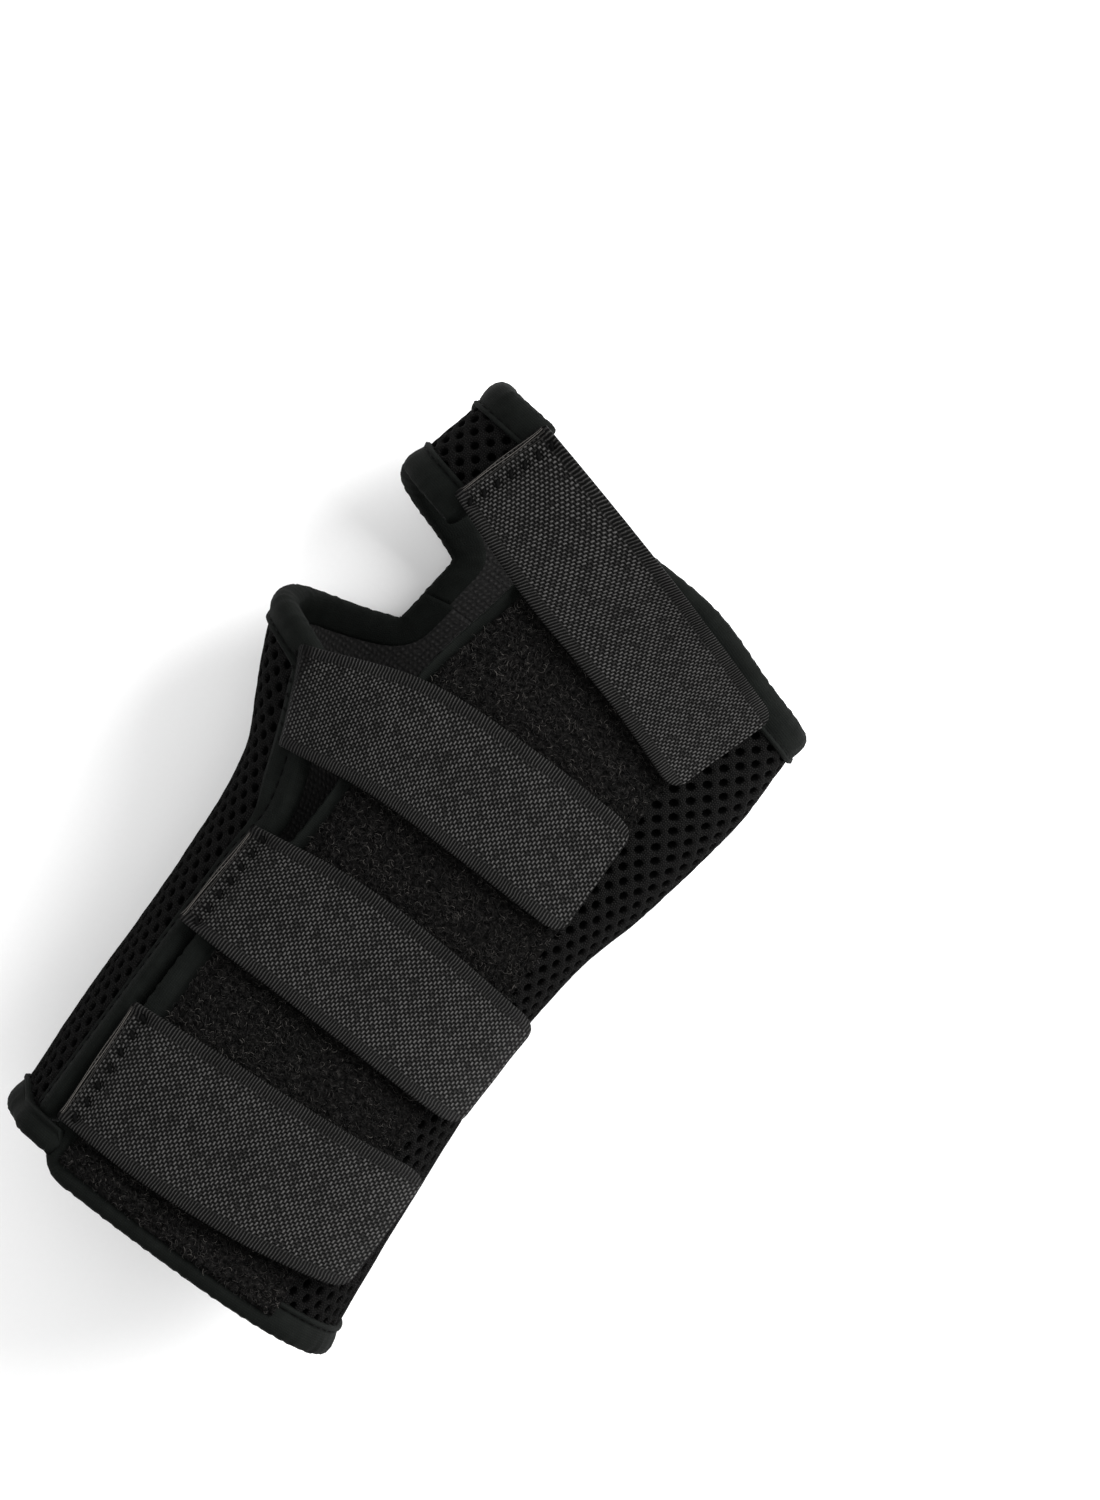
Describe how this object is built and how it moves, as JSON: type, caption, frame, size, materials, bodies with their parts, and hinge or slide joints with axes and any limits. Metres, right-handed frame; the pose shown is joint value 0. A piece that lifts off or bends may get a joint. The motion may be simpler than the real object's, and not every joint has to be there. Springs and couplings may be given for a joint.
{
  "type": "wrist splint",
  "caption": "Padded mesh wrist splint for the right hand with flaps that open along the back, hook-and-loop straps and a sliding palm stay.",
  "frame": {"origin": "under the middle of the splint's box, on the surface it lies on", "axes": "+Y towards the fingers along the forearm, +X towards the little finger, +Z towards the back of the hand"},
  "size_m": [0.109, 0.188, 0.0783],
  "materials": {
    "spacer_mesh": "padded black spacer mesh with rows of small round holes",
    "lining": "soft brushed knit",
    "binding": "smooth fine knit, rolled over foam",
    "loop_pile": "fuzzy looped pile",
    "webbing": "dense woven webbing with ribbed edges",
    "hook_tape": "moulded hook tape",
    "thread": "bonded sewing thread",
    "aluminium_stay": "satin"
  },
  "bodies": {
    "palm_side": {"palmar_mesh": "spacer_mesh", "palmar_lining": "lining", "palmar_distal_binding": "binding", "palmar_proximal_binding": "binding", "thumb_hole_binding": "binding", "stay_pocket_cover": "binding", "stay_pocket_mouth_binding": "binding"},
    "ulnar_flap": {"ulnar_mesh": "spacer_mesh", "ulnar_lining": "lining", "loop_panel": "loop_pile", "ulnar_edge_binding": "binding", "ulnar_distal_binding": "binding", "ulnar_proximal_binding": "binding"},
    "radial_flap": {"radial_mesh": "spacer_mesh", "radial_lining": "lining", "radial_edge_binding": "binding", "radial_thumb_binding": "binding", "radial_proximal_binding": "binding", "strap_2_sewn_end": "webbing", "strap_2_stitching": "thread", "strap_3_sewn_end": "webbing", "strap_3_stitching": "thread", "strap_4_sewn_end": "webbing", "strap_4_stitching": "thread"},
    "web_bar": {"web_mesh": "spacer_mesh", "web_lining": "lining", "web_distal_binding": "binding", "web_thumb_binding": "binding", "strap_1_sewn_end": "webbing", "strap_1_stitching": "thread"},
    "strap_1": {"strap_1_band": "webbing", "strap_1_hook_pad": "hook_tape"},
    "strap_2": {"strap_2_band": "webbing", "strap_2_hook_pad": "hook_tape"},
    "strap_3": {"strap_3_band": "webbing", "strap_3_hook_pad": "hook_tape"},
    "strap_4": {"strap_4_band": "webbing", "strap_4_hook_pad": "hook_tape"},
    "stay": {"palmar_stay": "aluminium_stay"}
  },
  "joints": [
    {"name": "radial_flap_fold", "type": "hinge", "parent": "palm_side", "child": "radial_flap", "pos_m": [-0.0437, -0.03097, 0.04292], "axis": [0.0954, -0.9954, -0.0083], "range_deg": [0, 75]},
    {"name": "web_bar_fold", "type": "hinge", "parent": "palm_side", "child": "web_bar", "pos_m": [-0.0472, 0.08003, 0.03177], "axis": [-0.2251, -0.9698, -0.0935], "range_deg": [0, 75]},
    {"name": "ulnar_flap_fold", "type": "hinge", "parent": "palm_side", "child": "ulnar_flap", "pos_m": [0.05305, -0.00497, 0.03741], "axis": [0.0348, 0.997, -0.0696], "range_deg": [0, 15]},
    {"name": "strap_1_peel", "type": "hinge", "parent": "web_bar", "child": "strap_1", "pos_m": [-0.02364, 0.07651, 0.05558], "axis": [-0.4006, -0.9123, -0.0847], "range_deg": [0, 130]},
    {"name": "strap_2_peel", "type": "hinge", "parent": "radial_flap", "child": "strap_2", "pos_m": [-0.03389, 0.01578, 0.05624], "axis": [0.219, -0.9749, -0.0406], "range_deg": [0, 130]},
    {"name": "strap_3_peel", "type": "hinge", "parent": "radial_flap", "child": "strap_3", "pos_m": [-0.02532, -0.02389, 0.05926], "axis": [-0.0463, -0.9926, 0.1121], "range_deg": [0, 130]},
    {"name": "strap_4_peel", "type": "hinge", "parent": "radial_flap", "child": "strap_4", "pos_m": [-0.02224, -0.06871, 0.06978], "axis": [0.0391, -0.9717, 0.2332], "range_deg": [0, 130]},
    {"name": "stay_slide", "type": "hinge", "parent": "palm_side", "child": "stay", "pos_m": [0.00255, 0.00003, 0.59371], "axis": [-1, 0, 0], "range_deg": [0, 16]}
  ],
  "couplings": [
    {"joint": "web_bar_fold", "follows": "radial_flap_fold", "ratio": 1},
    {"joint": "ulnar_flap_fold", "follows": "radial_flap_fold", "ratio": 0.2}
  ]
}
